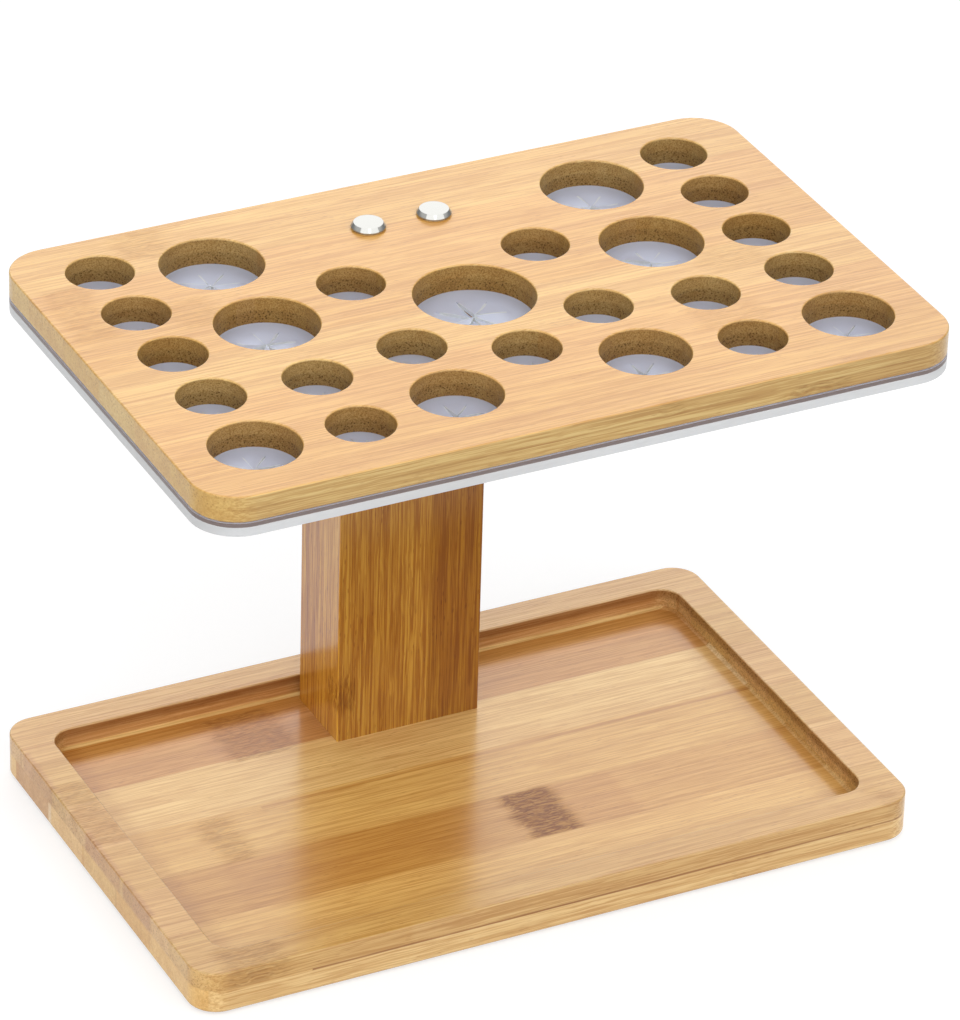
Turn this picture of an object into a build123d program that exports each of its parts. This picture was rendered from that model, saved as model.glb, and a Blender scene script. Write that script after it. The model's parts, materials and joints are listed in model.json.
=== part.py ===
"""Bamboo drying stand with star-slit sockets. Millimetres, +Z up, +Y to the back.

A shallow bamboo tray carries one post near its back edge. The post carries a head of three sheets:
a bamboo board with 26 sockets, a silicone sheet with a star slit under each socket, and an acrylic
retainer with the same holes. What hangs in a socket is pushed up through its star, whose petals grip
it. Nothing on the stand moves. The origin is the middle of the whole stand, where its pads rest.
"""

import os

from build123d import *

# --- Tray board -----------------------------------------------------------------------------------
base_width = 235.0  # left to right
base_depth = 148.6
base_thick = 13.5  # two plies of bamboo glued together
base_corner = 9.0
tray_rim = 10.9  # left standing round the routed tray
tray_depth = 6.8
tray_corner = 7.0
tray_cove = 1.5  # hollow that the cutter leaves round the tray's floor

# --- Post -----------------------------------------------------------------------------------------
post_width = 47.8
post_depth = 27.6
post_height = 156.4  # from the tray's floor to the retainer
post_back_gap = 2.6  # between the post and the tray's back wall
post_edge = 0.6

# --- Head: socket board, silicone sheet and acrylic retainer -----------------------------------------
head_width = 237.0
head_depth = 153.6
head_corner = 14.0
head_overhang = 7.8  # the head's front edge stands out past the tray's
board_thick = 8.4
sheet_thick = 1.3
retainer_thick = 2.8

# --- Sockets, placed from the middle of the head ---------------------------------------------------
small_radius = 10.0
medium_radius = 13.3
large_radius = 15.4
broad_radius = 18.0
outer_column = 93.7
wide_column = 61.9
inner_column = 29.8
outer_rows = (
    (56.8, small_radius), (30.5, small_radius), (4.4, small_radius), (-21.8, small_radius), (-51.5, medium_radius),
)
wide_rows = ((48.7, large_radius), (10.1, large_radius), (-23.9, small_radius), (-52.7, small_radius))
inner_rows = ((22.1, small_radius), (-18.6, small_radius), (-48.0, medium_radius))
middle_rows = ((1.7, broad_radius), (-32.2, small_radius))

slit_lines = 4  # slits that cross at a star's middle, so a star has twice as many petals
slit_width = 0.3
slit_reach = 0.66  # how far a slit runs towards its socket's wall, as a share of the radius

# --- Edges ----------------------------------------------------------------------------------------
edge_round = 0.5  # sanded edges that face up, and the rims of the sockets
lower_round = 1.0  # sanded edges that face down

# --- Head screws, with a cap that screws into a seat over each --------------------------------------
head_screw_offset = 10.7  # each side of the middle line
head_screw_forward = 1.5  # in front of the post's middle
head_screw_length = 45.0
head_screw_radius = 1.75
head_screw_head = 3.2
head_screw_sunk = 1.2  # the screw's head lies this far under the board's face
seat_flange_radius = 4.9
seat_flange_thick = 0.4
seat_body_radius = 4.3
seat_body_depth = 3.8
socket_clearance = 0.2  # between the seat's socket and the head of the screw
cap_radius = 5.25
cap_face_radius = 4.4
cap_rim = 0.3  # straight wall under the bevel
cap_thick = 1.5
cap_stub_gap = 0.2  # between the cap's stub and the head of the screw
cap_stub_clearance = 0.05
cap_edge = 0.1

# --- Screws under the tray and under the head -------------------------------------------------------
base_screw_length = 35.0
base_screw_radius = 2.0
base_screw_head = 3.8
base_screw_sunk = 0.6
retainer_screw_length = 9.5
retainer_screw_radius = 1.4
retainer_screw_head = 2.6
retainer_screw_sunk = 0.1
retainer_screw_inset = 9.0  # from the head's edges
screw_rim = 0.3  # straight edge of a screw's head
screw_clearance = 0.1  # round a shank where it passes through a piece
pilot_extra = 1.0  # a pilot hole runs on past the point of its screw
recess_span = 1.2  # a driver recess spans this many shank radii each way
recess_width = 0.4  # and is this many shank radii wide
recess_depth = 0.6

# --- Pads under the tray ----------------------------------------------------------------------------
pad_radius = 6.0
pad_thick = 1.6
pad_pocket = 0.6
pad_inset = 17.0  # from the tray board's edges to the middle of a pad
pad_clearance = 0.15

# --- Levels and places that follow from the sizes above ---------------------------------------------
base_z = pad_thick - pad_pocket
base_top_z = base_z + base_thick
floor_z = base_top_z - tray_depth
retainer_z = floor_z + post_height
sheet_z = retainer_z + retainer_thick
board_z = sheet_z + sheet_thick
board_top_z = board_z + board_thick

whole_depth = max(head_overhang + base_depth, head_depth)
head_mid_y = (head_depth - whole_depth) / 2
base_mid_y = head_overhang + (base_depth - whole_depth) / 2
tray_width = base_width - 2 * tray_rim
tray_length = base_depth - 2 * tray_rim
tray_back_y = base_mid_y + tray_length / 2
post_mid_y = tray_back_y - post_back_gap - post_depth / 2
head_screw_y = post_mid_y - head_screw_forward
head_screw_places = [(side * head_screw_offset, head_screw_y) for side in (-1, 1)]
base_screw_places = [(side * head_screw_offset, post_mid_y) for side in (-1, 1)]

columns = (
    (outer_column, outer_rows), (wide_column, wide_rows), (inner_column, inner_rows),
)
sockets = [(side * x, y, radius) for x, rows in columns for y, radius in rows for side in (-1, 1)]
sockets += [(0, y, radius) for y, radius in middle_rows]

retainer_screw_x = head_width / 2 - retainer_screw_inset
retainer_screw_y = head_depth / 2 - retainer_screw_inset
retainer_screw_places = [(side_x * retainer_screw_x, head_mid_y + side_y * retainer_screw_y)
                         for side_x in (-1, 1) for side_y in (-1, 1)]
retainer_screw_places.append((0, head_mid_y - retainer_screw_y))


def finish(piece, label):
    """Name a finished piece and write it to its own file."""
    piece.part.label = label
    export_step(piece.part, f"parts/{label}.step")


def head_outline():
    """The outline that the head's three sheets share, in the sketch that is open."""
    with Locations((0, head_mid_y)):
        RectangleRounded(head_width, head_depth, head_corner)


def socket_circles():
    """Every socket's circle, cut from the sketch that is open."""
    for x, y, radius in sockets:
        with Locations((x, head_mid_y + y)):
            Circle(radius, mode=Mode.SUBTRACT)


def screw_profile(head_radius, radius, length):
    """Half of a countersunk screw with its head's face at height 0 and its point down."""
    cone = head_radius - radius
    Polyline(
        (0, 0),
        (head_radius, 0),
        (head_radius, -screw_rim),
        (radius, -screw_rim - cone),
        (radius, -length + 2 * radius),
        (0, -length),
        close=True,
    )


def wood_screw(head_radius, radius, length):
    """A countersunk wood screw with a cross recess, point down, its face on the XY plane."""
    with BuildPart() as screw:
        with BuildSketch(Plane.XZ):
            with BuildLine():
                screw_profile(head_radius, radius, length)
            make_face()
        revolve(axis=Axis.Z)
        with BuildSketch(Plane.XY):
            with PolarLocations(0, 2, angular_range=180):
                Rectangle(2 * recess_span * radius, recess_width * radius)
        extrude(amount=-recess_depth, mode=Mode.SUBTRACT)
    return screw.part


def countersunk_hole(head_radius, radius, sunk, depth):
    """The space to cut away for a countersunk screw, which points down from a face at height 0.

    The screw's own face lies the sunk distance below that face.
    """
    wall = radius + screw_clearance
    mouth = head_radius + screw_clearance
    rim_end = -sunk - screw_rim
    with BuildPart() as hole:
        with BuildSketch(Plane.XZ):
            with BuildLine():
                Polyline(
                    (0, 0),
                    (mouth, 0),
                    (mouth, rim_end + screw_clearance),
                    (wall, rim_end - (head_radius - wall)),
                    (wall, -depth),
                    (0, -depth),
                    close=True,
                )
            make_face()
        revolve(axis=Axis.Z)
    return hole.part


# --- Tray board: the recess, the screw holes and the pads' pockets are cut into it -------------------
pad_places = [(side_x * (base_width / 2 - pad_inset), base_mid_y + side_y * (base_depth / 2 - pad_inset))
              for side_x in (-1, 1) for side_y in (-1, 1)]

base_hole = countersunk_hole(base_screw_head, base_screw_radius, base_screw_sunk, base_thick)

with BuildPart() as base_tray:
    with BuildSketch(Plane.XY.offset(base_z)):
        with Locations((0, base_mid_y)):
            RectangleRounded(base_width, base_depth, base_corner)
    extrude(amount=base_thick)
    with BuildSketch(Plane.XY.offset(base_top_z)):
        with Locations((0, base_mid_y)):
            RectangleRounded(tray_width, tray_length, tray_corner)
    extrude(amount=-tray_depth, mode=Mode.SUBTRACT)
    tray_floor = base_tray.faces().filter_by(Plane.XY).group_by(Axis.Z)[1]
    fillet(tray_floor.edges(), tray_cove)
    fillet(base_tray.faces().sort_by(Axis.Z)[-1].edges(), edge_round)
    fillet(base_tray.faces().sort_by(Axis.Z)[0].edges(), lower_round)
    with BuildSketch(Plane.XY.offset(base_z)):
        with Locations(*pad_places):
            Circle(pad_radius + pad_clearance)
    extrude(amount=pad_pocket, mode=Mode.SUBTRACT)
    with Locations(*[(x, y, base_z) for x, y in base_screw_places]):
        add(base_hole, rotation=(180, 0, 0), mode=Mode.SUBTRACT)
finish(base_tray, "base_tray")

# --- Post, with pilot holes for the screws at both ends ----------------------------------------------
head_screw_z = board_top_z - head_screw_sunk  # the face of a head screw
head_pilot = retainer_z - (head_screw_z - head_screw_length) + pilot_extra
base_screw_z = base_z + base_screw_sunk
base_pilot = base_screw_z + base_screw_length - floor_z + pilot_extra

with BuildPart() as post:
    with BuildSketch(Plane.XY.offset(floor_z)):
        with Locations((0, post_mid_y)):
            RectangleRounded(post_width, post_depth, post_edge)
    extrude(amount=post_height)
    with BuildSketch(Plane.XY.offset(retainer_z)):
        with Locations(*head_screw_places):
            Circle(head_screw_radius)
    extrude(amount=-head_pilot, mode=Mode.SUBTRACT)
    with BuildSketch(Plane.XY.offset(floor_z)):
        with Locations(*base_screw_places):
            Circle(base_screw_radius)
    extrude(amount=base_pilot, mode=Mode.SUBTRACT)
finish(post, "post")

# --- Socket board ------------------------------------------------------------------------------------
retainer_screw_z = retainer_z + retainer_screw_sunk
retainer_pilot = retainer_screw_z + retainer_screw_length - board_z + pilot_extra

with BuildPart() as top_board:
    with BuildSketch(Plane.XY.offset(board_z)):
        head_outline()
        socket_circles()
    extrude(amount=board_thick)
    fillet(top_board.faces().sort_by(Axis.Z)[-1].edges(), edge_round)
    fillet(top_board.faces().sort_by(Axis.Z)[0].outer_wire().edges(), lower_round)
    with BuildSketch(Plane.XY.offset(board_top_z)):
        with Locations(*head_screw_places):
            Circle(seat_body_radius)
    extrude(amount=-seat_body_depth, mode=Mode.SUBTRACT)
    with BuildSketch(Plane.XY.offset(board_z)):
        with Locations(*head_screw_places):
            Circle(head_screw_radius + screw_clearance)
    extrude(amount=board_thick, mode=Mode.SUBTRACT)
    with BuildSketch(Plane.XY.offset(board_z)):
        with Locations(*retainer_screw_places):
            Circle(retainer_screw_radius)
    extrude(amount=retainer_pilot, mode=Mode.SUBTRACT)
finish(top_board, "top_board")

# --- Silicone sheet, with a star slit in the middle of each socket ------------------------------------
with BuildPart() as silicone_sheet:
    with BuildSketch(Plane.XY.offset(sheet_z)):
        head_outline()
        for x, y, radius in sockets:
            with Locations((x, head_mid_y + y)):
                with PolarLocations(0, slit_lines, angular_range=180):
                    Rectangle(2 * slit_reach * radius, slit_width, mode=Mode.SUBTRACT)
        with Locations(*head_screw_places):
            Circle(head_screw_radius + screw_clearance, mode=Mode.SUBTRACT)
        with Locations(*retainer_screw_places):
            Circle(retainer_screw_radius + screw_clearance, mode=Mode.SUBTRACT)
    extrude(amount=sheet_thick)
finish(silicone_sheet, "silicone_sheet")

# --- Acrylic retainer ------------------------------------------------------------------------------------
retainer_hole = countersunk_hole(
    retainer_screw_head, retainer_screw_radius, retainer_screw_sunk, retainer_thick)

with BuildPart() as acrylic_retainer:
    with BuildSketch(Plane.XY.offset(retainer_z)):
        head_outline()
        socket_circles()
        with Locations(*head_screw_places):
            Circle(head_screw_radius + screw_clearance, mode=Mode.SUBTRACT)
    extrude(amount=retainer_thick)
    with Locations(*[(x, y, retainer_z) for x, y in retainer_screw_places]):
        add(retainer_hole, rotation=(180, 0, 0), mode=Mode.SUBTRACT)
finish(acrylic_retainer, "acrylic_retainer")

# --- Screws, in groups of like ones ---------------------------------------------------------------------
head_screw = wood_screw(head_screw_head, head_screw_radius, head_screw_length)
with BuildPart() as head_screws:
    with Locations(*[(x, y, head_screw_z) for x, y in head_screw_places]):
        add(head_screw)
finish(head_screws, "head_screws")

base_screw = wood_screw(base_screw_head, base_screw_radius, base_screw_length)
with BuildPart() as base_screws:
    with Locations(*[(x, y, base_screw_z) for x, y in base_screw_places]):
        add(base_screw, rotation=(180, 0, 0))
finish(base_screws, "base_screws")

retainer_screw = wood_screw(retainer_screw_head, retainer_screw_radius, retainer_screw_length)
with BuildPart() as retainer_screws:
    with Locations(*[(x, y, retainer_screw_z) for x, y in retainer_screw_places]):
        add(retainer_screw, rotation=(180, 0, 0))
finish(retainer_screws, "retainer_screws")

# --- Cap and seat over each head screw ----------------------------------------------------------------------
seat_socket_radius = head_screw_head + socket_clearance
seat_cone_top = -head_screw_sunk - screw_rim + socket_clearance
seat_hole_radius = head_screw_radius + screw_clearance
seat_cone_end = seat_cone_top - (seat_socket_radius - seat_hole_radius)
cap_stub_radius = seat_socket_radius - cap_stub_clearance
cap_z = board_top_z + seat_flange_thick
cap_stub_end = cap_stub_gap - head_screw_sunk - seat_flange_thick

for side, (x, y) in zip(("left", "right"), head_screw_places):
    with BuildPart() as cap_seat:
        with BuildSketch(Plane((x, y, board_top_z), x_dir=(1, 0, 0), z_dir=(0, -1, 0))):
            with BuildLine():
                Polyline(
                    (seat_hole_radius, -seat_body_depth),
                    (seat_body_radius, -seat_body_depth),
                    (seat_body_radius, 0),
                    (seat_flange_radius, 0),
                    (seat_flange_radius, seat_flange_thick),
                    (seat_socket_radius, seat_flange_thick),
                    (seat_socket_radius, seat_cone_top),
                    (seat_hole_radius, seat_cone_end),
                    close=True,
                )
            make_face()
        revolve(axis=Axis((x, y, 0), (0, 0, 1)))
    finish(cap_seat, f"cap_seat_{side}")

    with BuildPart() as screw_cap:
        with BuildSketch(Plane((x, y, cap_z), x_dir=(1, 0, 0), z_dir=(0, -1, 0))):
            with BuildLine():
                Polyline(
                    (0, cap_stub_end),
                    (cap_stub_radius, cap_stub_end),
                    (cap_stub_radius, 0),
                    (cap_radius, 0),
                    (cap_radius, cap_rim),
                    (cap_face_radius, cap_thick),
                    (0, cap_thick),
                    close=True,
                )
            make_face()
        revolve(axis=Axis((x, y, 0), (0, 0, 1)))
        bevel_edges = screw_cap.edges().filter_by(GeomType.CIRCLE).group_by(Axis.Z)[-2:]
        fillet([edge for group in bevel_edges for edge in group], cap_edge)
    finish(screw_cap, f"screw_cap_{side}")

# --- Pads ---------------------------------------------------------------------------------------------------
pad_names = ("front_left", "back_left", "front_right", "back_right")
for corner, (x, y) in zip(pad_names, pad_places):
    with BuildPart() as pad:
        with BuildSketch():
            with Locations((x, y)):
                Circle(pad_radius)
        extrude(amount=pad_thick)
    finish(pad, f"pad_{corner}")
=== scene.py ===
"""Looks of the bamboo drying stand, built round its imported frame. Metres, +Z up, +Y to the back."""

import json
import math

import bmesh
import bpy
from mathutils import Matrix, Vector


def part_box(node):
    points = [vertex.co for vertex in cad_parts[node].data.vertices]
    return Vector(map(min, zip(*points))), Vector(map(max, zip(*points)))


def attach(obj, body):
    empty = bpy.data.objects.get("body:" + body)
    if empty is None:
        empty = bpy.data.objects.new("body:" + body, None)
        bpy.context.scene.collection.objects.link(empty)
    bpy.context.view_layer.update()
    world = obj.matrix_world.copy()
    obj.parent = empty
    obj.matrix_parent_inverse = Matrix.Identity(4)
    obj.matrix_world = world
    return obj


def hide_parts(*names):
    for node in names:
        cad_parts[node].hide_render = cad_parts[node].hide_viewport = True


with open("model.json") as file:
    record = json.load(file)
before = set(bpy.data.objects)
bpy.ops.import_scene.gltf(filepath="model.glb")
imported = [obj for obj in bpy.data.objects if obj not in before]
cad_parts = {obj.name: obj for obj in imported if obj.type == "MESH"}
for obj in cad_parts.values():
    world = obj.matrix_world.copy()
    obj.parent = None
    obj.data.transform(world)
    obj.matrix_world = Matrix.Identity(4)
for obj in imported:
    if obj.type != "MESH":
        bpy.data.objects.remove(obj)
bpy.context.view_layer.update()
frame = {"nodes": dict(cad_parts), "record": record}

# --- Camera ---------------------------------------------------------------------------------------
look_at = Vector((0.00859, 0.00967, 0.09714))
camera_distance = 1.896
camera_azimuth = math.radians(-27.05)
camera_elevation = math.radians(30.67)
camera_roll = math.radians(1.71)
camera_lens = 225.9  # mm
camera_sensor = 36.0  # mm, along the picture's long side

# --- Sizes of the stand that the pieces and finishes follow, in millimetres -----------------------
MILLIMETRE = 0.001
TO_MILLIMETRES = 1000.0


def box_mm(node):
    """Lowest and highest corner of a node, in millimetres."""
    low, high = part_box(node)
    return low * TO_MILLIMETRES, high * TO_MILLIMETRES


board_low, board_high = box_mm("top_board")
tray_low, tray_high = box_mm("base_tray")
post_low, post_high = box_mm("post")
sheet_low, sheet_high = box_mm("silicone_sheet")
sockets = [(Vector(mount["pos_m"]) * TO_MILLIMETRES, mount["dims"]["r_mm"])
           for mount in frame["record"]["mounts"] if mount["name"].startswith("socket_")]

head_corner = 14.0
inner_margin = 7.0  # walls further in than this from a board's outline are of holes or the recess


# --- Node graphs ----------------------------------------------------------------------------------
class Wire:
    """A socket that takes part in arithmetic. Each operator adds one Math node to the graph."""

    def __init__(self, graph, socket):
        self.graph = graph
        self.socket = socket

    def __add__(self, other):
        return self.graph.math("ADD", self, other)

    __radd__ = __add__

    def __mul__(self, other):
        return self.graph.math("MULTIPLY", self, other)

    __rmul__ = __mul__

    def __sub__(self, other):
        return self.graph.math("SUBTRACT", self, other)

    def __rsub__(self, other):
        return self.graph.math("SUBTRACT", other, self)

    def __truediv__(self, other):
        return self.graph.math("DIVIDE", self, other)

    def __rtruediv__(self, other):
        return self.graph.math("DIVIDE", other, self)

    def __abs__(self):
        return self.graph.math("ABSOLUTE", self)

    def __pow__(self, other):
        return self.graph.math("POWER", self, other)

    def __mod__(self, other):
        return self.graph.math("MODULO", self, other)

    def __floordiv__(self, other):
        return self.graph.math("FLOOR", self / other)

    def __gt__(self, other):
        return self.graph.math("GREATER_THAN", self, other)

    def __lt__(self, other):
        return self.graph.math("LESS_THAN", self, other)

    def least(self, other):
        return self.graph.math("MINIMUM", self, other)

    def most(self, other):
        return self.graph.math("MAXIMUM", self, other)

    def other(self, name):
        """Another output of the node that this wire leaves."""
        return Wire(self.graph, self.socket.node.outputs[name])


class Graph:
    """The node tree of one material, world or shape."""

    def __init__(self, tree):
        self.tree = tree
        tree.nodes.clear()

    def add(self, kind, settings=None, inputs=None, output=0):
        """Add a node: its settings first, then its sockets' values or links. Gives one output."""
        node = self.tree.nodes.new(kind)
        for name, value in (settings or {}).items():
            if name == "stops":
                self.set_stops(node.color_ramp, value)
            else:
                setattr(node, name, value)
        for name, value in (inputs or {}).items():
            self.feed(node.inputs[name], value)
        return Wire(self, node.outputs[output]) if node.outputs else node

    def feed(self, socket, value):
        if isinstance(value, list):
            for one in value:
                self.feed(socket, one)
        elif isinstance(value, Wire):
            self.tree.links.new(value.socket, socket)
        elif isinstance(value, tuple) and len(value) == 3 and socket.type == "RGBA":
            socket.default_value = (*value, 1.0)
        else:
            socket.default_value = value

    @staticmethod
    def set_stops(ramp, stops):
        """Plain steps of colour, each from its own place on."""
        ramp.interpolation = "CONSTANT"
        while len(ramp.elements) > 1:
            ramp.elements.remove(ramp.elements[-1])
        for index, (place, colour) in enumerate(stops):
            element = ramp.elements[0] if index == 0 else ramp.elements.new(place)
            element.position = place
            element.color = (*colour, 1.0)

    def math(self, operation, first, second=None):
        values = {0: first} if second is None else {0: first, 1: second}
        return self.add("ShaderNodeMath", {"operation": operation}, values)

    def smooth(self, value, low, high):
        """Smooth step from 0, where the value is at low, to 1, where it is at high."""
        return self.add("ShaderNodeMapRange", {"interpolation_type": "SMOOTHSTEP"},
                        {"Value": value, "From Min": low, "From Max": high})

    def mix(self, first, second, factor):
        """A colour between two colours."""
        return self.add("ShaderNodeMix", {"data_type": "RGBA"}, {0: factor, 6: first, 7: second}, 2)

    def tint(self, colour, other, factor=1.0):
        """A colour multiplied by another, by a share of it."""
        settings = {"data_type": "RGBA", "blend_type": "MULTIPLY"}
        return self.add("ShaderNodeMix", settings, {0: factor, 6: colour, 7: other}, 2)

    def vector(self, x, y, z):
        return self.add("ShaderNodeCombineXYZ", None, {"X": x, "Y": y, "Z": z})

    def split(self, vector):
        x = self.add("ShaderNodeSeparateXYZ", None, {0: vector})
        return x, x.other("Y"), x.other("Z")

    def place(self):
        """The point on the piece in millimetres, as three wires."""
        point = self.add("ShaderNodeTexCoord", None, None, "Object")
        return self.split(self.add("ShaderNodeVectorMath", {"operation": "SCALE"},
                                   {0: point, "Scale": TO_MILLIMETRES}))

    def normal(self):
        """The direction that the surface faces, as three wires."""
        return self.split(self.add("ShaderNodeTexCoord", None, None, "Normal"))

    def noise(self, vector, detail=2.0, roughness=0.5):
        return self.add("ShaderNodeTexNoise", None,
                        {"Vector": vector, "Scale": 1.0, "Detail": detail, "Roughness": roughness})

    def finish(self, shader):
        self.add("ShaderNodeOutputMaterial", None, {"Surface": shader})

    def read(self, name, kind="FLOAT"):
        """A shape's named attribute."""
        return self.add("GeometryNodeInputNamedAttribute", {"data_type": kind}, {"Name": name})

    def store(self, shape, name, value, kind="FLOAT"):
        return self.add("GeometryNodeStoreNamedAttribute", {"data_type": kind},
                        {"Geometry": shape, "Name": name, "Value": value})

    def looked_at(self):
        """1 for rays that show a thing to the camera, straight or in metal or glass, else 0."""
        camera = self.add("ShaderNodeLightPath", None, None, "Is Camera Ray")
        return camera.most(camera.other("Is Glossy Ray")).most(camera.other("Is Transmission Ray"))


def new_material(name):
    material = bpy.data.materials.new(name)
    material.use_nodes = True
    return material, Graph(material.node_tree)


# --- Bamboo ---------------------------------------------------------------------------------------
def streaks(g, cane, length, pitch, low, high, seed):
    """Lines of fibre that run along the cane, from 0 to 1. Their cut ends show as dots."""
    along, across, up = cane
    lines = g.noise(g.vector(along / length + seed, across / pitch, up / pitch), roughness=0.6)
    return g.smooth(lines, low, high)


def flecks(g, cane, length, pitch, low, high, seed):
    """Short dark dashes where single bundles of fibre come to the surface."""
    along, across, up = cane
    cells = g.add("ShaderNodeTexVoronoi", {"feature": "F1"}, {
        "Vector": g.vector(along / length + seed, across / pitch, up / pitch), "Scale": 1.0,
    }, "Distance")
    return g.smooth(cells, high, low)


def within(g, place, limits, soft):
    """1 inside limits along X, Y and Z in millimetres, fading to 0 over a soft edge."""
    mask = None
    for wire, limit in zip(place, limits):
        if limit is not None:
            low, high = limit
            part = (g.smooth(wire, low - soft / 2, low + soft / 2)
                    * g.smooth(wire, high + soft / 2, high - soft / 2))
            mask = part if mask is None else mask * part
    return mask


def strip_ramp(g, across, low, high, strips):
    """Colours of strips of cane, side by side from low to high, each given as (its end, colour)."""
    starts = [low] + [end for end, _ in strips[:-1]]
    stops = [((start - low) / (high - low), colour) for start, (_, colour) in zip(starts, strips)]
    share = (across - low) / (high - low)
    return g.add("ShaderNodeValToRGB", {"stops": stops}, {"Fac": share}, "Color")


def inside_outline(g, x, y, low, high):
    """1 well inside a board's outline, such as on the wall of a hole, and 0 near its edges."""
    middle, half = (low + high) / 2, (high - low) / 2
    return ((abs(x - middle.x) < half.x - inner_margin)
            * (abs(y - middle.y) < half.y - inner_margin))


# Tints of the grain, from its broadest streaks to its finest marks, then pores, the painted
# reflection on rounded edges and the painted shade in coves
broad_tint = (0.86, 0.78, 0.68)
middling_tint = (0.80, 0.68, 0.52)
fine_tint = (0.72, 0.58, 0.40)
dash_tint = (0.55, 0.40, 0.28)
knot_tint = (0.38, 0.25, 0.18)
rounded_painted_reflection = (1.0, 1.12, 1.5)  # painted reflection of the white room on the rounded edges and rims, whose coat mirrors less of it
outer_pore_tint = (0.60, 0.48, 0.36)
inner_pore_tint = (0.38, 0.31, 0.23)
cove_painted_shade = (0.60, 0.54, 0.44)


def bamboo(name, plies, knuckles, stains, seed, upright=False, walls=None, cut_walls=None,
           grain=1.0):
    """Sealed bamboo, glued up from strips. Its cane runs along X, or along Z where it is upright.

    plies: (where the ply ends, low, high, strips) from the lowest layer on.
    knuckles: (middle, width, limits along X, Y and Z, strength), the joints of the cane.
    stains: (limits along X, Y and Z, soft edge, tint), tones of single places; some of them
    are painted light and shade.
    walls: tints of the outer walls that run along the cane, and of those that cross it.
    cut_walls: (low, high, shade, tint along the cane, tint across it, speckle along the cane)
    for the walls of holes and of the recess. The tints give the cut wood's duller tone, and
    painted shade where they darken the walls. The shade is a band of painted shade (from one
    height, to another, tint).
    grain: strength of the fibre's lines.
    """
    material, g = new_material(name)
    place = g.place()
    x, y, z = place
    normal_x, normal_y, normal_z = g.normal()
    if upright:
        along, across, up, end_grain = z, x, y, abs(normal_z)
    else:
        along, across, up, end_grain = x, y, z, abs(normal_x)
    steep = abs(normal_z)
    wall = g.smooth(steep, 0.8, 0.3)
    inner, speckled = 0.0, end_grain
    if cut_walls is not None:
        low, high, shade, cut_side, cut_end, speckle = cut_walls
        inner = inside_outline(g, x, y, low, high) * g.smooth(z, high.z - 0.1, high.z - 0.6)
        speckled = end_grain.most(speckle)
    cut = wall * inner

    wander = (g.noise(g.vector(along / 40.0 + seed, across / 5.0, up / 5.0)) - 0.5) * 10.0
    knots = None
    for middle, width, limits, strength in knuckles:
        band = g.smooth(abs(along - middle + wander), width / 2 + 3.0, width / 2 - 3.0)
        knot = band * within(g, place, limits, 1.6) * strength
        knots = knot if knots is None else knots.most(knot)
    waver = g.noise(g.vector(along / 9.0, across / 6.0, up / 6.0), detail=1.0) - 0.5
    waver = waver * (0.4 + knots * 3.0)
    cane = (along, across + waver, up + waver)

    broad = streaks(g, cane, 150.0, 5.0, 0.36, 0.64, seed)
    middling = streaks(g, cane, 60.0, 1.3, 0.43, 0.59, seed + 3.0)
    fine = streaks(g, cane, 26.0, 0.45, 0.44, 0.57, seed + 7.0)
    clusters = g.smooth(g.noise(g.vector(along / 22.0 + seed, across / 7.0, up / 7.0)), 0.48, 0.62)
    dashes = flecks(g, cane, 5.0, 1.1, 0.10, 0.26, seed) * (0.25 + clusters * 0.75).most(knots)
    mottle = streaks(g, cane, 3.6, 0.6, 0.42, 0.58, seed + 13.0)
    pores = flecks(g, place, 0.9, 0.9, 0.18, 0.40, seed)

    colour = None
    ply_start = 0.0
    for ply_end, low, high, strips in plies:
        ply_colour = strip_ramp(g, across, low, high, strips)
        colour = ply_colour if colour is None else g.mix(colour, ply_colour, up > ply_start)
        ply_start = ply_end
    for limits, soft, stain in stains:
        colour = g.tint(colour, stain, within(g, place, limits, soft))
    plain = (1.0 - (cut * speckled * 0.7).most(wall * end_grain * 0.6)) * grain
    colour = g.tint(colour, broad_tint, broad * 0.6)
    colour = g.tint(colour, middling_tint, middling * (wall * 0.2 + 0.4) * plain)
    colour = g.tint(colour, fine_tint, fine * (wall * 0.1 + 0.6) * plain)
    colour = g.tint(colour, dash_tint, dashes * 0.4 * plain)
    colour = g.tint(colour, knot_tint, knots * (knots * 0.45 + mottle * 0.5))
    # Painted reflection: the rounded edges and rims are whitened as if their coat mirrored the white
    # room.
    rounded = g.smooth(steep, 0.9998, 0.98) * g.smooth(steep, 0.35, 0.75)
    colour = g.tint(colour, rounded_painted_reflection, rounded)
    coat = (1.0 - end_grain * 0.3) * (1.0 - knots * 0.5)

    if walls is not None:
        side, end = walls
        outer = wall * (1.0 - inner)
        colour = g.tint(colour, g.mix(side, end, end_grain), outer)
        glue_line = plies[0][0]
        upper_ply = g.smooth(up, glue_line - 0.4, glue_line + 0.4)
        colour = g.tint(colour, outer_pore_tint,
                        outer * end_grain * pores * (0.15 + upper_ply * 0.5))
    if cut_walls is not None:
        shade_from, shade_to, painted_shade_tint = shade
        cove = g.smooth(steep, 0.99, 0.80) * inner
        specks = g.smooth(g.noise(g.vector(x / 0.4, y / 0.4, z / 0.4), roughness=0.7), 0.44, 0.58)
        painted_shade_band = g.smooth(z, shade_from, shade_to)
        # The cut wood's duller tone, carrying painted shade where it darkens the walls.
        colour = g.tint(colour, g.mix(cut_side, cut_end, end_grain), cut)
        # Painted shade: a darker band on the cut walls between two heights.
        colour = g.tint(colour, painted_shade_tint, painted_shade_band * cut)
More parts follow.
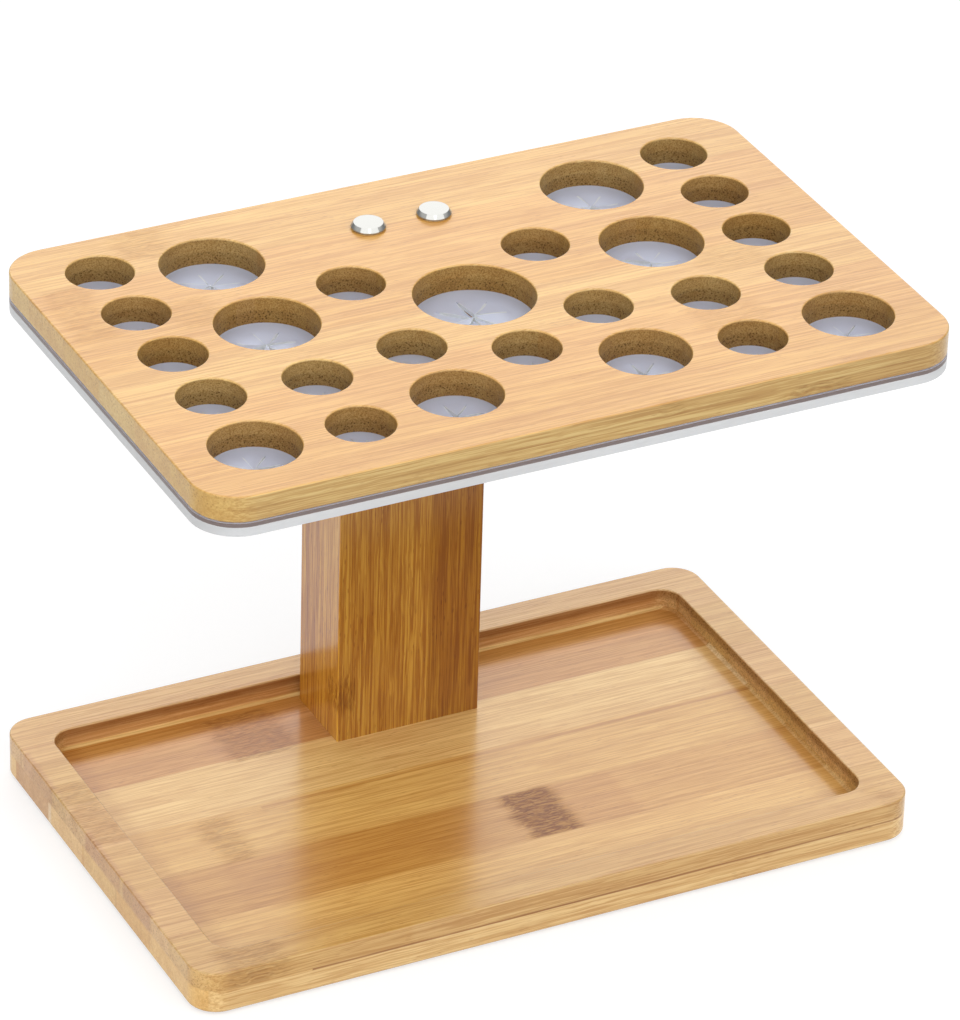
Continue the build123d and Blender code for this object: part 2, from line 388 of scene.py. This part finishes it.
        # Painted shade in the coves at the walls' foot, broken by the end grain's specks.
        colour = g.tint(colour, cove_painted_shade, cove * speckled * specks * 0.8)
        colour = g.tint(colour, inner_pore_tint,
                        cut * speckled * pores * (0.4 + painted_shade_band * 0.5))
        coat = coat * (1.0 - g.smooth(steep, 0.9999, 0.985) * inner * 0.85)
    bump = g.add("ShaderNodeBump", None, {
        "Height": fine * -0.5 - middling * 0.3 + mottle * knots * 0.8,
        "Strength": 0.4, "Distance": 0.05 * MILLIMETRE,
    })
    g.finish(g.add("ShaderNodeBsdfPrincipled", None, {
        "Base Color": colour,
        "Roughness": 0.4 + fine * 0.12,
        "Specular IOR Level": 0.1,
        "Coat Weight": coat,
        "Coat Roughness": 0.2,
        "Coat IOR": 1.5,
        "Normal": bump,
    }))
    return material


# Colours of the strips of cane
pale = (0.84, 0.50, 0.135)
honey = (0.80, 0.44, 0.10)
straw = (0.82, 0.455, 0.115)
rosy = (0.64, 0.315, 0.075)
wheat = (0.86, 0.57, 0.215)
ochre = (0.77, 0.46, 0.13)
russet = (0.66, 0.36, 0.083)
sand = (0.81, 0.49, 0.145)
shell = (0.70, 0.42, 0.128)
chalky = (0.72, 0.43, 0.147)
# Painted light and shade for the post: its left side lit, the right part of its front shaded.
post_painted_light = (0.74, 0.385, 0.045)
deep = (0.53, 0.275, 0.036)
post_painted_shade = (0.38, 0.165, 0.013)

strip_width = 25.2


def strips_from(first_end, colours):
    """Strips of one width, the first of which ends at first_end."""
    return [(first_end + index * strip_width, colour) for index, colour in enumerate(colours)]


tray_floor_strips = strips_from(-60.2, [sand, sand, russet, ochre, wheat, rosy, sand])
tray_rim_strips = strips_from(-48.0, [shell, chalky, shell, chalky, shell, chalky])
board_strips = strips_from(-52.0, [honey, straw, pale, honey, straw, pale])

# Limits of the places that knuckles and stains lie in
tray_ply = 8.6  # height of the glue line in the tray board
board_ply = 172.4  # height of the glue line in the socket board
below_tray_ply = (0.0, tray_ply)
above_tray_ply = (tray_ply, 20.0)
above_board_ply = (board_ply, 180.0)
below_board_ply = (160.0, board_ply)
tray_front = (-80.0, -68.5)
tray_left = (-120.0, -116.0)
board_front = (-80.0, -76.0)
floor_span = (-106.0, 106.0)  # the tray's floor, left to right
floor_depth = (-60.0, 68.0)  # the tray's floor, front to back
front_strip = (-35.0, -10.2)  # four strips of the floor, in order to the back
middle_strip = (-10.2, 13.9)
back_strip = (13.9, 38.9)
last_strip = (38.9, 64.1)

bamboo_base = bamboo(
    "bamboo_base",
    plies=[
        (tray_ply, tray_low.y, tray_high.y, tray_floor_strips),
        (tray_high.z, tray_low.y, tray_high.y, tray_rim_strips),
    ],
    knuckles=[
        (-77.5, 11.0, (None, middle_strip, below_tray_ply), 0.5),
        (15.0, 17.0, (None, front_strip, below_tray_ply), 1.0),
        (-46.0, 22.0, (None, last_strip, below_tray_ply), 0.6),
        (-112.0, 12.0, (None, (5.0, 40.0), above_tray_ply), 0.48),
        (-99.0, 20.0, (None, (-72.0, -58.0), above_tray_ply), 0.5),
        (109.0, 6.0, (None, (-75.0, -60.0), above_tray_ply), 0.3),
    ],
    stains=[
        ((None, front_strip, below_tray_ply), 0.6, (0.97, 0.92, 0.86)),
        (((-85.0, -5.0), front_strip, below_tray_ply), 8.0, (0.90, 0.83, 0.72)),
        (((24.0, 47.0), (-34.0, -12.0), below_tray_ply), 6.0, (0.97, 0.93, 0.90)),
        (((-62.0, -20.0), last_strip, below_tray_ply), 8.0, (0.90, 0.84, 0.86)),
        (((-60.0, 106.0), (12.8, 14.2), below_tray_ply), 0.8, (0.80, 0.68, 0.55)),
        # Painted shade on the floor at the foot of the recess's right wall.
        (((98.0, 108.0), floor_depth, below_tray_ply), 7.0, (0.86, 0.80, 0.76)),
        # Painted light: the floor lighter and whiter towards the right, and the front strip from x 44
        # on.
        (((70.0, 140.0), floor_depth, below_tray_ply), 60.0, (1.03, 1.08, 1.25)),
        (((44.0, 130.0), front_strip, below_tray_ply), 3.0, (1.07, 1.12, 1.25)),
        # Painted highlight: the back of the floor paler and whiter towards the cove.
        ((floor_span, (54.0, 58.5), below_tray_ply), 5.0, (1.15, 1.18, 1.50)),
        ((floor_span, (tray_high.y - 4.5, tray_high.y - 1.5), below_tray_ply), 2.0,
         (0.98, 1.02, 1.25)),
        # Painted shade in the cove and low on the back wall of the recess.
        ((floor_span, (tray_high.y - 1.2, tray_high.y + 0.5), (7.9, 10.2)), 0.8,
         (0.86, 0.80, 0.84)),
        # Painted shade on the floor at the foot of the recess's left wall.
        (((-112.0, -98.0), floor_depth, below_tray_ply), 5.0, (0.90, 0.84, 0.74)),
        ((None, (61.5, 62.6), above_tray_ply), 0.6, (0.86, 0.76, 0.66)),
        (((-82.0, 130.0), tray_front, (8.0, 8.6)), 0.3, (0.50, 0.36, 0.24)),
        ((None, tray_front, below_tray_ply), 0.4, (1.0, 1.06, 1.22)),
        (((-130.0, -50.0), tray_front, above_tray_ply), 3.0, (0.94, 0.90, 0.80)),
        ((tray_left, last_strip, below_tray_ply), 1.0, (0.98, 1.05, 1.35)),
        ((tray_left, back_strip, below_tray_ply), 1.0, (0.94, 0.86, 0.72)),
        ((tray_left, front_strip, below_tray_ply), 1.0, (1.16, 1.26, 1.50)),
        ((tray_left, (38.0, 60.0), above_tray_ply), 2.0, (0.86, 0.76, 0.76)),
        ((tray_left, (-13.0, 13.0), above_tray_ply), 2.0, (0.86, 0.76, 0.76)),
        ((tray_left, (-35.0, -15.0), above_tray_ply), 2.0, (0.80, 0.70, 0.70)),
    ],
    seed=3.0,
    walls=((0.98, 1.06, 1.40), (1.10, 1.17, 1.45)),
    # Painted shade on the recess walls: darker high up, and darker where the tints darken them.
    cut_walls=(tray_low, tray_high, (10.4, 12.4, (0.62, 0.54, 0.48)),
               (0.84, 0.76, 0.84), (1.02, 1.08, 1.25), 0.1),
)
bamboo_board = bamboo(
    "bamboo_board",
    plies=[
        (board_ply, board_low.y, board_high.y, board_strips),
        (board_high.z, board_low.y, board_high.y, board_strips),
    ],
    knuckles=[
        (-109.0, 14.0, (None, (18.0, 50.0), above_board_ply), 0.35),
        (-76.0, 16.0, (None, (58.0, 74.0), above_board_ply), 0.35),
        (-78.0, 14.0, (None, (14.0, 31.0), above_board_ply), 0.3),
        (79.0, 20.0, (None, (-17.0, -1.0), above_board_ply), 0.25),
        (62.0, 22.0, (None, (-46.0, -31.0), above_board_ply), 0.25),
        (70.0, 20.0, (None, board_front, below_board_ply), 0.5),
        (23.0, 7.0, (None, board_front, above_board_ply), 0.4),
    ],
    stains=[
        ((None, board_front, (172.1, 172.7)), 0.3, (0.82, 0.74, 0.64)),
        ((None, None, below_board_ply), 0.4, (0.97, 0.96, 0.94)),
        # Painted shade: the board darker towards its right and its front, the front's upper ply too.
        (((82.0, 200.0), None, above_board_ply), 60.0, (0.80, 0.76, 0.70)),
        ((None, (-200.0, -60.0), above_board_ply), 40.0, (0.90, 0.89, 0.86)),
    ],
    seed=11.0,
    walls=((0.77, 0.98, 1.6), (0.85, 0.99, 1.25)),
    # Painted shade on the hole walls: darker overall, and darker still on their lower ply.
    cut_walls=(board_low, board_high, (172.8, 172.0, (0.84, 0.84, 0.84)),
               (0.56, 0.62, 0.86), (0.56, 0.62, 0.86), 1.0),
)
bamboo_post = bamboo(
    "bamboo_post",
    # The post's left side in painted light, the right part of its front in painted shade.
    plies=[(post_high.y, post_low.x, post_high.x, [(-23.75, post_painted_light), (6.0, deep), (23.9, post_painted_shade)])],
    knuckles=[(23.0, 12.0, ((-24.5, -18.0), (36.0, 45.0), None), 0.65)],
    stains=[(((-25.0, -22.0), (52.0, 61.0), None), 1.0, (0.86, 0.78, 0.80))],
    seed=23.0,
    upright=True,
    grain=1.7,
)


# --- Silicone, acrylic, metal and rubber ----------------------------------------------------------
def silicone_finish():
    material, g = new_material("silicone")
    x, y, z = g.place()
    cloud = g.noise(g.vector(x / 9.0, y / 9.0, z / 9.0), detail=3.0)
    colour = g.mix((0.66, 0.71, 0.86), (0.76, 0.80, 0.94), cloud)
    cut_edge = g.add("ShaderNodeAttribute", {"attribute_name": "cut_edge"}, None, "Fac")
    # Painted highlight: the petals' cut edges and tips whitened.
    colour = g.mix(colour, (0.94, 0.98, 1.0), g.smooth(cut_edge, 0.65, 0.95))
    # Painted shade: the sheet's outer edge, held between the board and the acrylic, darkened.
    rim = g.smooth(abs(g.normal()[2]), 0.8, 0.3) * (
        1.0 - inside_outline(g, x, y, board_low, board_high))
    colour = g.mix(colour, (0.255, 0.195, 0.18), rim)
    g.finish(g.add("ShaderNodeBsdfPrincipled", None, {
        "Base Color": colour, "Roughness": 0.35, "IOR": 1.41, "Transmission Weight": 0.35,
    }))
    return material


def acrylic_finish():
    material, g = new_material("acrylic")
    x, y, z = g.place()
    facing = abs(g.normal()[2])
    scuffs = g.noise(g.vector(x / 5.0, y / 5.0, z), detail=4.0)
    clear = g.add("ShaderNodeBsdfPrincipled", None, {
        "Base Color": (0.86, 0.89, 0.91), "Roughness": 0.05, "IOR": 1.49, "Alpha": 0.2,
    })
    edge = g.add("ShaderNodeBsdfPrincipled", None, {
        "Base Color": g.mix((0.53, 0.535, 0.545), (0.62, 0.63, 0.635), scuffs), "Roughness": 0.3,
        "IOR": 1.49, "Transmission Weight": 0.05,
    })
    factor = g.smooth(facing, 0.8, 0.4) * 0.97
    g.finish(g.add("ShaderNodeMixShader", None, {0: factor, 1: clear, 2: edge}))
    return material


def metal_finish(name, colour, roughness):
    material, g = new_material(name)
    x, y, z = g.place()
    smear = g.noise(g.vector(x / 3.0, y / 3.0, z / 3.0), detail=3.0)
    g.finish(g.add("ShaderNodeBsdfPrincipled", None, {
        "Base Color": colour, "Metallic": 1.0, "Roughness": roughness + smear * 0.06,
    }))
    return material


def rubber_finish():
    material, g = new_material("pad_rubber")
    x, y, z = g.place()
    pores = g.noise(g.vector(x / 0.5, y / 0.5, z / 0.5))
    colour = g.mix((0.012, 0.012, 0.012), (0.03, 0.03, 0.03), pores)
    g.finish(g.add("ShaderNodeBsdfPrincipled", None, {"Base Color": colour, "Roughness": 0.85}))
    return material


silicone = silicone_finish()
acrylic = acrylic_finish()
chrome = metal_finish("chrome", (0.40, 0.40, 0.38), 0.08)
seat_metal = metal_finish("seat_metal", (0.45, 0.40, 0.30), 0.3)
zinc_steel = metal_finish("zinc_steel", (0.60, 0.61, 0.63), 0.35)
pad_rubber = rubber_finish()

finishes = {
    "base_tray": bamboo_base,
    "top_board": bamboo_board,
    "post": bamboo_post,
    "silicone_sheet": silicone,
    "acrylic_retainer": acrylic,
    "screw_cap_left": chrome,
    "screw_cap_right": chrome,
    "cap_seat_left": seat_metal,
    "cap_seat_right": seat_metal,
    "head_screws": zinc_steel,
    "base_screws": zinc_steel,
    "retainer_screws": zinc_steel,
    "pad_front_left": pad_rubber,
    "pad_front_right": pad_rubber,
    "pad_back_left": pad_rubber,
    "pad_back_right": pad_rubber,
}
for node_name, finish in finishes.items():
    for slot in frame["nodes"][node_name].material_slots:
        slot.material = finish


# --- Silicone sheet with a star of petals in each socket ------------------------------------------
PETALS = 8
PETAL_STEPS = 9  # points from a petal's tip to its root
PETAL_SPREAD = 5  # points across a petal
WELD = 0.000004  # metres within which two points are one

slit_reach = 0.66  # how far a slit runs towards its socket's wall, as a share of the radius
knife_cut = 0.08  # width of an empty slit
curl_down, curl_up = -0.04, 0.15  # lift of a petal's tip, as a share of its length
petal_tilt = 0.05
petal_seed = 7
sheet_gap = 0.02  # above and below the sheet, so that no two faces lie in one plane
retainer_screw_inset = 9.0  # from the head's edges
retainer_screw_hole = 1.5  # radius in the silicone
head_screw_hole = 1.85
hole_cut = 0.1  # stands in for the slit at a screw hole, which has no petals
crease_angle = math.radians(35.0)
level_normal = 0.99999  # a face whose normal rises more than this is flat


def petal_point(g, centre, reach, slit, petal, outward, across):
    """Where a point of a petal lies: outward goes from 0 at its tip to 1, across from -1 to 1."""
    tip = slit * (0.5 / math.sin(math.pi / PETALS))
    radius = tip + (reach - tip) * outward
    half_angle = math.pi / PETALS - g.math("ARCSINE", (slit * 0.5 / radius).least(1.0))
    angle = (petal + 0.5) * (2.0 * math.pi / PETALS) + across * half_angle
    x, y, z = g.split(centre)
    return (x + radius * g.math("COSINE", angle), y + radius * g.math("SINE", angle), z)


def new_shape_tree(name, inputs):
    """An empty Geometry Nodes tree, one shape in and one out, with named inputs for its sizes."""
    tree = bpy.data.node_groups.new(name, "GeometryNodeTree")
    for direction in ("OUTPUT", "INPUT"):
        tree.interface.new_socket("Shape", in_out=direction, socket_type="NodeSocketGeometry")
    for label, kind in inputs:
        tree.interface.new_socket(label, in_out="INPUT", socket_type=f"NodeSocket{kind}")
    g = Graph(tree)
    return g, g.add("NodeGroupInput")


def star_sheet_tree():
    """A flat sheet with round holes, in which petals grow inwards from a socket's edge."""
    g, start = new_shape_tree("star_sheet", [
        ("Width", "Float"), ("Depth", "Float"), ("Corner", "Float"), ("Thickness", "Float"),
        ("Middle", "Vector"), ("Curl Down", "Float"), ("Curl Up", "Float"), ("Tilt", "Float"),
        ("Seed", "Int"), ("Finish", "Material"),
    ])
    spots = g.store(start, "centre", g.add("GeometryNodeInputPosition"), "FLOAT_VECTOR")
    reach, slit, centre = g.read("reach"), g.read("slit"), g.read("centre", "FLOAT_VECTOR")

    ring = g.add("GeometryNodeCurvePrimitiveCircle", None, {"Resolution": PETALS * PETAL_SPREAD})
    ring = g.store(ring, "step", g.add("GeometryNodeInputIndex"))
    rings = g.add("GeometryNodeInstanceOnPoints", None, {"Points": spots, "Instance": ring})
    rings = g.add("GeometryNodeRealizeInstances", None, {"Geometry": rings})
    step = g.read("step")
    across = (step % PETAL_SPREAD) * (2.0 / (PETAL_SPREAD - 1)) - 1.0
    edge = petal_point(g, centre, reach, slit, step // PETAL_SPREAD, 1.0, across)
    rings = g.add("GeometryNodeSetPosition", None, {"Geometry": rings, "Position": g.vector(*edge)})

    outline = g.add("GeometryNodeCurvePrimitiveQuadrilateral", None,
                    {"Width": start.other("Width"), "Height": start.other("Depth")})
    outline = g.add("GeometryNodeFilletCurve", {"mode": "POLY"},
                    {"Curve": outline, "Count": 14, "Radius": start.other("Corner")})
    outline = g.add("GeometryNodeTransform", None,
                    {"Geometry": outline, "Translation": start.other("Middle")})
    edges = g.add("GeometryNodeJoinGeometry", None, {"Geometry": [outline, rings]})
    flat = g.add("GeometryNodeFillCurve", None, {"Curve": edges})

    petals = g.add("GeometryNodeDuplicateElements", {"domain": "POINT"},
                   {"Geometry": spots, "Selection": g.read("grips") > 0.5, "Amount": PETALS})
    petals = g.store(petals, "petal", petals.other("Duplicate Index"))
    seed = start.other("Seed")
    curl = g.add("FunctionNodeRandomValue", {"data_type": "FLOAT"},
                 {2: start.other("Curl Down"), 3: start.other("Curl Up"), "Seed": seed}, 1)
    petals = g.store(petals, "curl", curl)
    lean = g.add("FunctionNodeRandomValue", {"data_type": "FLOAT"},
                 {2: start.other("Tilt") * -1.0, 3: start.other("Tilt"), "Seed": seed + 1.0}, 1)
    petals = g.store(petals, "lean", lean)
    patch = g.add("GeometryNodeMeshGrid", None, {
        "Size X": 1.0, "Size Y": 1.0, "Vertices X": PETAL_STEPS, "Vertices Y": PETAL_SPREAD})
    petals = g.add("GeometryNodeInstanceOnPoints", None, {"Points": petals, "Instance": patch})
    petals = g.add("GeometryNodeRealizeInstances", None, {"Geometry": petals})
    local = g.add("ShaderNodeVectorMath", {"operation": "SUBTRACT"},
                  {0: g.add("GeometryNodeInputPosition"), 1: centre})
    local_x, local_y, _ = g.split(local)
    petals = g.store(petals, "outward", local_x + 0.5)
    petals = g.store(petals, "across", local_y * 2.0)
    outward, across = g.read("outward"), g.read("across")
    free = 1.0 - outward
    flat_x, flat_y, flat_z = petal_point(g, centre, reach, slit, g.read("petal"), outward, across)
    lift = (g.read("curl") * free ** 1.5 + g.read("lean") * across * free * outward * 4.0) * reach
    petals = g.add("GeometryNodeSetPosition", None, {
        "Geometry": petals, "Position": g.vector(flat_x, flat_y, flat_z + lift)})
    # Where the painted highlight falls: along a petal's cut edges and at its tip.
    cut_edge = (g.smooth(abs(across), 0.6, 1.0) * g.smooth(outward, 1.0, 0.85)).most(
        g.smooth(outward, 0.12, 0.0))
    petals = g.store(petals, "cut_edge", cut_edge)

    top = g.add("GeometryNodeJoinGeometry", None, {"Geometry": [flat, petals]})
    top = g.add("GeometryNodeMergeByDistance", None, {"Geometry": top, "Distance": WELD})
    down = g.vector(0.0, 0.0, start.other("Thickness") * -1.0)
    under = g.add("GeometryNodeFlipFaces", None, {"Mesh": top})
    under = g.add("GeometryNodeExtrudeMesh", None,
                  {"Mesh": under, "Offset": down, "Offset Scale": 1.0, "Individual": False})
    whole = g.add("GeometryNodeJoinGeometry", None, {"Geometry": [top, under]})
    whole = g.add("GeometryNodeMergeByDistance", None, {"Geometry": whole, "Distance": WELD})
    whole = g.add("GeometryNodeSetShadeSmooth", {"domain": "FACE"},
                  {"Geometry": whole, "Shade Smooth": True})
    level = abs(g.split(g.add("GeometryNodeInputNormal"))[2]) > level_normal
    whole = g.add("GeometryNodeSetShadeSmooth", {"domain": "FACE"},
                  {"Geometry": whole, "Selection": level, "Shade Smooth": False})
    crease = g.add("GeometryNodeInputMeshEdgeAngle") > crease_angle
    whole = g.add("GeometryNodeSetShadeSmooth", {"domain": "EDGE"},
                  {"Geometry": whole, "Selection": crease, "Shade Smooth": False})
    whole = g.add("GeometryNodeRealizeInstances", None, {"Geometry": whole})
    whole = g.add("GeometryNodeSetMaterial", None,
                  {"Geometry": whole, "Material": start.other("Finish")})
    g.add("NodeGroupOutput", None, {"Shape": whole})
    return g.tree


def new_piece(name, mesh):
    piece = bpy.data.objects.new(name, mesh)
    bpy.context.scene.collection.objects.link(piece)
    return piece


def grow(name, start_mesh, tree, values):
    """A piece whose plain mesh comes from a Geometry Nodes tree with these inputs."""
    piece = new_piece(name, start_mesh)
    modifier = piece.modifiers.new(name, "NODES")
    modifier.node_group = tree
    for item in tree.interface.items_tree:
        if item.in_out == "INPUT" and item.name in values:
            modifier[item.identifier] = values[item.name]
    graph = bpy.context.evaluated_depsgraph_get()
    mesh = bpy.data.meshes.new_from_object(piece.evaluated_get(graph))
    mesh.name = name
    piece.modifiers.remove(modifier)
    piece.data = mesh
    return piece


def sheet_spots():
    """Points at the middles of the sheet's sockets and screw holes, with the sizes of each."""
    spots = [(spot.x, spot.y, slit_reach * radius, knife_cut, 1.0) for spot, radius in sockets]
    middle, half = (sheet_low + sheet_high) / 2, (sheet_high - sheet_low) / 2
    for side_x, side_y in ((-1, -1), (1, -1), (-1, 1), (1, 1), (0, -1)):
        spots.append((middle.x + side_x * (half.x - retainer_screw_inset),
                      middle.y + side_y * (half.y - retainer_screw_inset),
                      retainer_screw_hole, hole_cut, 0.0))
    for node in ("screw_cap_left", "screw_cap_right"):
        low, high = box_mm(node)
        cap = (low + high) / 2
        spots.append((cap.x, cap.y, head_screw_hole, hole_cut, 0.0))
    mesh = bpy.data.meshes.new("sheet_spots")
    mesh.from_pydata([(x * MILLIMETRE, y * MILLIMETRE, 0.0) for x, y, *_ in spots], [], [])
    scales = (("reach", MILLIMETRE), ("slit", MILLIMETRE), ("grips", 1.0))
    for column, (name, scale) in enumerate(scales, start=2):
        attribute = mesh.attributes.new(name, "FLOAT", "POINT")
        attribute.data.foreach_set("value", [spot[column] * scale for spot in spots])
    return mesh


def make_star_sheet():
    height = (sheet_high.z - sheet_gap) * MILLIMETRE
    size = (sheet_high - sheet_low) * MILLIMETRE
    middle = (sheet_high + sheet_low) / 2 * MILLIMETRE
    piece = grow("star_slit_sheet", sheet_spots(), star_sheet_tree(), {
        "Width": size.x, "Depth": size.y, "Corner": head_corner * MILLIMETRE,
        "Thickness": size.z - 2 * sheet_gap * MILLIMETRE, "Middle": (middle.x, middle.y, 0.0),
        "Curl Down": curl_down, "Curl Up": curl_up, "Tilt": petal_tilt, "Seed": petal_seed,
        "Finish": silicone,
    })
    piece.data.transform(Matrix.Translation((0.0, 0.0, height)))
    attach(piece, "root")
    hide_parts("silicone_sheet")


make_star_sheet()


# --- Turned caps ----------------------------------------------------------------------------------
cap_thick = 1.5
cap_radius = 5.25
cap_face_radius = 4.4
cap_stub_radius = 3.35
cap_rim = 0.3  # straight wall under the bevel
cap_soft = 0.1  # how far the polish rounds the bevel's corners
cap_lower_edge = 0.06
turned_crease = math.radians(30.0)


def turned(name, profile, middle, finish, segments=96):
    """A closed piece turned round a vertical line. The profile is (radius, height) going up."""
    shape = bmesh.new()
    rings = []
    for radius, height in profile:
        count = segments if radius > 0 else 1
        rings.append([shape.verts.new(Vector((
            middle.x + radius * math.cos(2 * math.pi * step / count),
            middle.y + radius * math.sin(2 * math.pi * step / count),
            middle.z + height)) * MILLIMETRE) for step in range(count)])
    for lower, upper in zip(rings, rings[1:]):
        for step in range(segments):
            corners = [lower[step % len(lower)], lower[(step + 1) % len(lower)],
                       upper[(step + 1) % len(upper)], upper[step % len(upper)]]
            shape.faces.new(list(dict.fromkeys(corners)))
    bmesh.ops.recalc_face_normals(shape, faces=shape.faces)
    mesh = bpy.data.meshes.new(name)
    shape.to_mesh(mesh)
    shape.free()
    mesh.shade_smooth()
    mesh.set_sharp_from_angle(angle=turned_crease)
    mesh.materials.append(finish)
    return new_piece(name, mesh)


def make_cap(side):
    """A polished cap with a bevelled edge, over its stub. It stands on the seat's flange."""
    node = f"screw_cap_{side}"
    low, high = box_mm(node)
    middle = (low + high) / 2
    under = high.z - cap_thick
    bevel = Vector((cap_face_radius - cap_radius, cap_thick - cap_rim)).normalized() * cap_soft
    profile = [
        (0.0, low.z - under), (cap_stub_radius, low.z - under), (cap_stub_radius, 0.0),
        (cap_radius - cap_lower_edge, 0.0), (cap_radius, cap_lower_edge),
        (cap_radius, cap_rim - cap_soft), (cap_radius + bevel.x * 0.3, cap_rim),
        (cap_radius + bevel.x, cap_rim + bevel.y),
        (cap_face_radius - bevel.x, cap_thick - bevel.y),
        (cap_face_radius - bevel.x * 0.3, cap_thick - cap_soft * 0.3),
        (cap_face_radius - cap_soft, cap_thick - cap_soft * 0.05),
        (cap_face_radius - cap_soft * 3, cap_thick), (0.0, cap_thick),
    ]
    piece = turned(f"polished_cap_{side}", profile, Vector((middle.x, middle.y, under)), chrome)
    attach(piece, "root")
    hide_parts(node)


for cap_side in ("left", "right"):
    make_cap(cap_side)


# --- Stage: floor, world and lamps ----------------------------------------------------------------
def floor_finish():
    """White floor that takes the shadow. The camera, metal and glass see it white, with a glow."""
    material, g = new_material("floor")
    matt = g.add("ShaderNodeBsdfDiffuse", None, {"Color": (0.6, 0.6, 0.6)})
    shadowed = g.add("ShaderNodeBsdfDiffuse", None, {"Color": (0.45, 0.45, 0.45)})
    glow = g.add("ShaderNodeEmission", None, {"Color": (1.0, 1.0, 1.0), "Strength": 0.62})
    bright = g.add("ShaderNodeAddShader", None, {0: shadowed, 1: glow})
    shown = g.add("ShaderNodeMixShader", None, {0: g.looked_at(), 1: matt, 2: bright})
    from_below = (g.add("ShaderNodeNewGeometry", None, None, "Backfacing")
                  * g.add("ShaderNodeLightPath", None, None, "Is Camera Ray"))
    unseen = g.add("ShaderNodeBsdfTransparent")
    g.finish(g.add("ShaderNodeMixShader", None, {0: from_below, 1: shown, 2: unseen}))
    return material


def make_floor(half=6.0):
    mesh = bpy.data.meshes.new("floor")
    corners = [(-half, -half, 0), (half, -half, 0), (half, half, 0), (-half, half, 0)]
    mesh.from_pydata(corners, [], [(0, 1, 2, 3)])
    mesh.materials.append(floor_finish())
    new_piece("floor", mesh)


def make_world(ambient):
    """White surroundings, which polished metal sees end in a dim room near the horizon."""
    world = bpy.data.worlds.new("studio")
    bpy.context.scene.world = world
    world.use_nodes = True
    g = Graph(world.node_tree)
    direction = g.split(g.add("ShaderNodeTexCoord", None, None, "Generated"))
    glossy = g.add("ShaderNodeLightPath", None, None, "Is Glossy Ray")
    room = g.smooth(direction[2], 0.45, 0.12) * glossy * 0.6
    strength = (ambient + g.looked_at() * (1.0 - ambient)) * (1.0 - room)
    background = g.add("ShaderNodeBackground", None,
                       {"Color": (1.0, 1.0, 1.0), "Strength": strength})
    g.add("ShaderNodeOutputWorld", None, {"Surface": background})


def direction_from(azimuth, elevation):
    """Unit vector from the stand to what stands round it at this azimuth and elevation."""
    return Vector((math.sin(azimuth) * math.cos(elevation),
                   -math.cos(azimuth) * math.cos(elevation), math.sin(elevation)))


def make_softbox(name, azimuth, elevation, distance, size, brightness):
    """A square area lamp that looks at the stand. A brightness of 1 is as bright as white paper."""
    lamp = bpy.data.lights.new(name, "AREA")
    lamp.size = size
    lamp.energy = brightness * math.pi * size * size
    lamp_object = bpy.data.objects.new(name, lamp)
    out = direction_from(math.radians(azimuth), math.radians(elevation))
    lamp_object.location = look_at + out * distance
    lamp_object.rotation_euler = out.to_track_quat("Z", "Y").to_euler()
    bpy.context.scene.collection.objects.link(lamp_object)


make_floor()
make_world(ambient=0.55)
make_softbox("key", azimuth=16.0, elevation=35.0, distance=1.6, size=1.8, brightness=1.2)
make_softbox("fill", azimuth=-46.0, elevation=32.0, distance=1.6, size=1.8, brightness=1.3)
make_softbox("back", azimuth=153.0, elevation=33.0, distance=1.6, size=1.6, brightness=1.2)


# --- Camera object --------------------------------------------------------------------------------
def make_camera():
    back = direction_from(camera_azimuth, camera_elevation)
    level = Vector((math.cos(camera_azimuth), math.sin(camera_azimuth), 0.0))
    upward = back.cross(level)
    right = math.cos(camera_roll) * level + math.sin(camera_roll) * upward
    up = math.cos(camera_roll) * upward - math.sin(camera_roll) * level
    data = bpy.data.cameras.new("camera")
    data.lens = camera_lens
    data.sensor_width = camera_sensor
    data.sensor_fit = "AUTO"
    data.clip_start = 0.05
    data.clip_end = 50.0
    camera = bpy.data.objects.new("camera", data)
    turn = Matrix((right, up, back)).transposed().to_4x4()
    camera.matrix_world = Matrix.Translation(look_at + back * camera_distance) @ turn
    bpy.context.scene.collection.objects.link(camera)
    bpy.context.scene.camera = camera


make_camera()
bpy.context.scene.view_settings.view_transform = "Standard"
